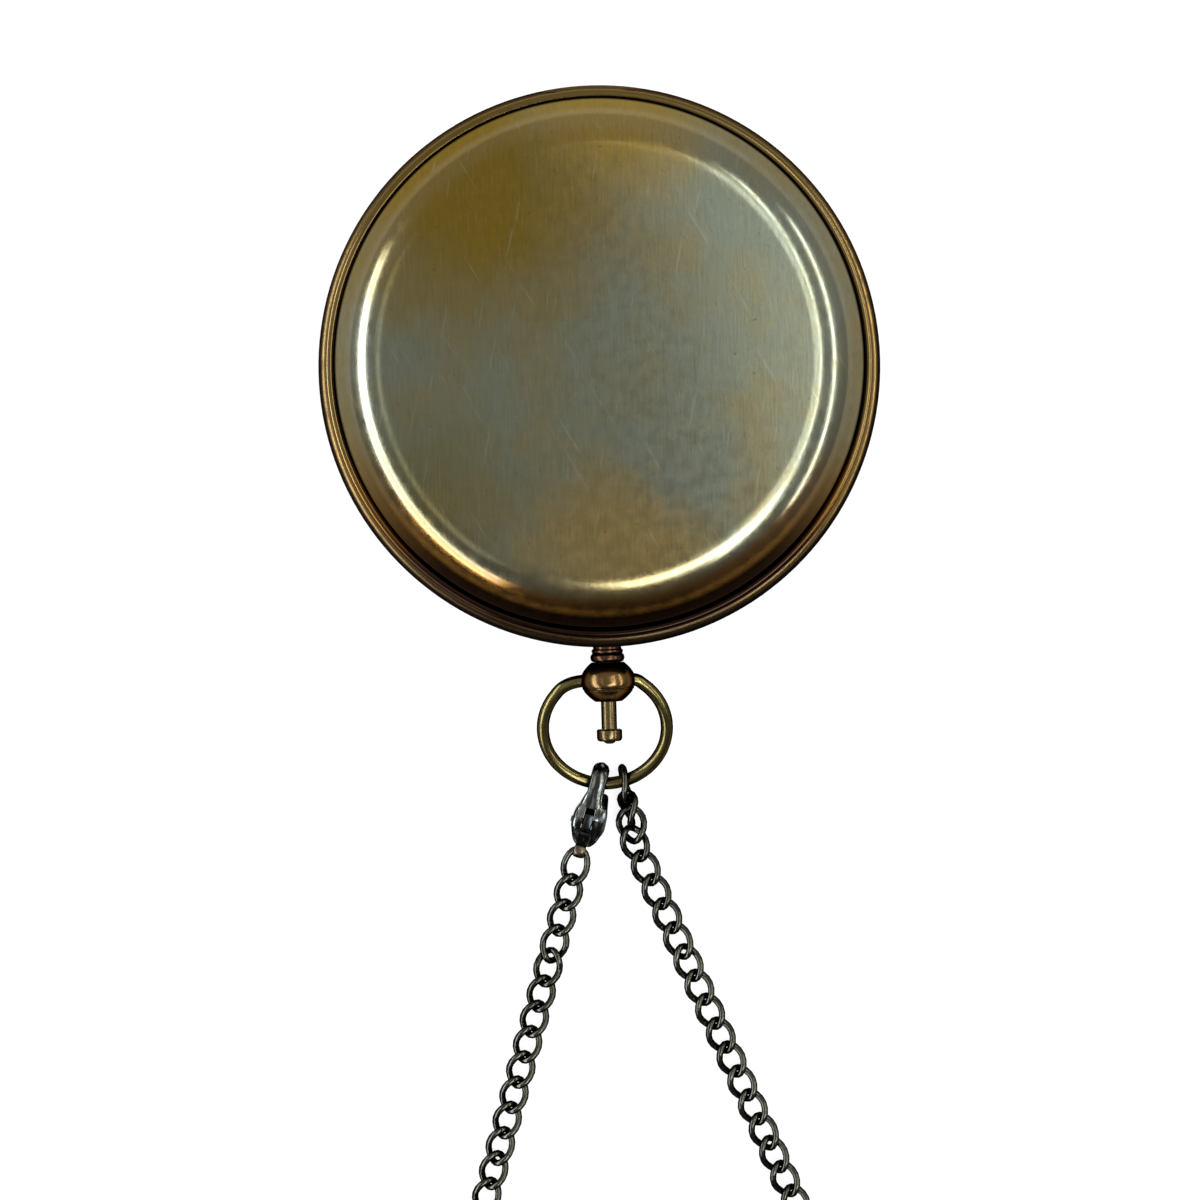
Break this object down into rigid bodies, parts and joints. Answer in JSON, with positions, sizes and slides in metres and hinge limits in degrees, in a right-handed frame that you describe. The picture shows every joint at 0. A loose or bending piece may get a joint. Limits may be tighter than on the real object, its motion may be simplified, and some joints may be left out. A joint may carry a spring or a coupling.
{
  "type": "pocket sundial compass",
  "caption": "Round hinged brass pocket case with a push-pin catch, a compass under glass, a folding sundial gnomon, and a bow ring with a curb chain and lobster clasp.",
  "frame": {"origin": "centre of the case's flat back, the face the closed case lies on", "axes": "+Z from the back to the lid, -Y along the pendant and push pin, +Y to the lid's hinge"},
  "size_m": [0.075, 0.2184, 0.0192],
  "materials": {
    "antique_brass": "aged, satin",
    "aged_brass": "dark patina",
    "inner_brass": "satin",
    "steel": "satin",
    "blued_steel": "blued",
    "card": "matt",
    "glass": "clear",
    "gunmetal": "gunmetal plated"
  },
  "bodies": {
    "case": {"case_body": "aged_brass", "case_leaf_left": "aged_brass", "case_leaf_right": "aged_brass", "hinge_pin": "steel", "compass_bowl": "inner_brass", "compass_card": "card", "needle_pivot": "steel", "compass_glass": "glass", "hour_plate": "inner_brass", "plate_screw_1": "inner_brass", "plate_screw_2": "inner_brass", "plate_screw_3": "inner_brass", "plate_screw_4": "inner_brass", "gnomon_lug_inner": "inner_brass", "gnomon_lug_outer": "inner_brass", "gnomon_pin": "steel", "lift_spring": "steel", "spring_screw": "inner_brass", "pendant_neck": "aged_brass", "pendant_ball": "aged_brass", "push_spring": "steel"},
    "lid": {"lid": "antique_brass", "lid_leaf": "aged_brass", "lid_catch": "inner_brass"},
    "gnomon": {"gnomon": "inner_brass"},
    "needle": {"needle": "blued_steel", "needle_cap": "inner_brass"},
    "push_button": {"push_pin": "aged_brass", "push_head": "aged_brass", "catch_hook": "steel"},
    "bow": {"bow": "antique_brass"},
    "chain_hang": {"clasp_body": "gunmetal", "clasp_eye": "aged_brass", "clasp_pin": "gunmetal", "end_link": "gunmetal", "chain_link_1": "gunmetal", "chain_link_2": "gunmetal", "chain_left_lead": "gunmetal", "chain_right_lead": "gunmetal"},
    "clasp_gate": {"clasp_lever": "gunmetal"},
    "chain_loop": {"chain_loop_1": "gunmetal", "chain_loop_2": "gunmetal", "chain_loop_3": "gunmetal", "chain_loop_4": "gunmetal", "chain_loop_5": "gunmetal", "chain_loop_6": "gunmetal", "chain_loop_7": "gunmetal", "chain_loop_8": "gunmetal"}
  },
  "joints": [
    {"name": "lid_hinge", "type": "hinge", "parent": "case", "child": "lid", "pos_m": [0, 0.0356, 0.0116], "axis": [-1, 0, 0], "range_deg": [0, 100]},
    {"name": "gnomon_fold", "type": "hinge", "parent": "case", "child": "gnomon", "pos_m": [0, -0.0266, 0.01185], "axis": [0, -1, 0], "range_deg": [0, 90]},
    {"name": "needle_spin", "type": "hinge", "parent": "case", "child": "needle", "pos_m": [0, 0, 0.0075], "axis": [0, 0, 1], "continuous": true},
    {"name": "push_travel", "type": "slide", "parent": "case", "child": "push_button", "axis": [0, 1, 0], "range_m": [0, 0.0015], "stiffness_N_per_m": 400, "springref_m": -0.002, "deforming": ["push_spring"]},
    {"name": "bow_swing", "type": "hinge", "parent": "case", "child": "bow", "pos_m": [0, -0.042, 0.0082], "axis": [-1, 0, 0], "range_deg": [0, 75]},
    {"name": "chain_drape", "type": "hinge", "parent": "bow", "child": "chain_hang", "pos_m": [0, -0.05611, 0.00211], "axis": [-1, 0, 0], "range_deg": [-123.75, 0]},
    {"name": "chain_fold", "type": "hinge", "parent": "chain_hang", "child": "chain_loop", "pos_m": [0, -0.07985, 0.00105], "axis": [-1, 0, 0], "range_deg": [0, 48.75]},
    {"name": "clasp_lever_swing", "type": "hinge", "parent": "chain_hang", "child": "clasp_gate", "pos_m": [-0.0034, -0.06166, 0.0012], "axis": [0.9588, -0.284, 0], "range_deg": [0, 20], "stiffness_Nm_per_rad": 0.02, "springref_deg": -17.19}
  ],
  "couplings": [
    {"joint": "gnomon_fold", "follows": "lid_hinge", "ratio": 0.9},
    {"joint": "chain_drape", "follows": "bow_swing", "ratio": -1.65},
    {"joint": "chain_fold", "follows": "bow_swing", "ratio": 0.65}
  ]
}
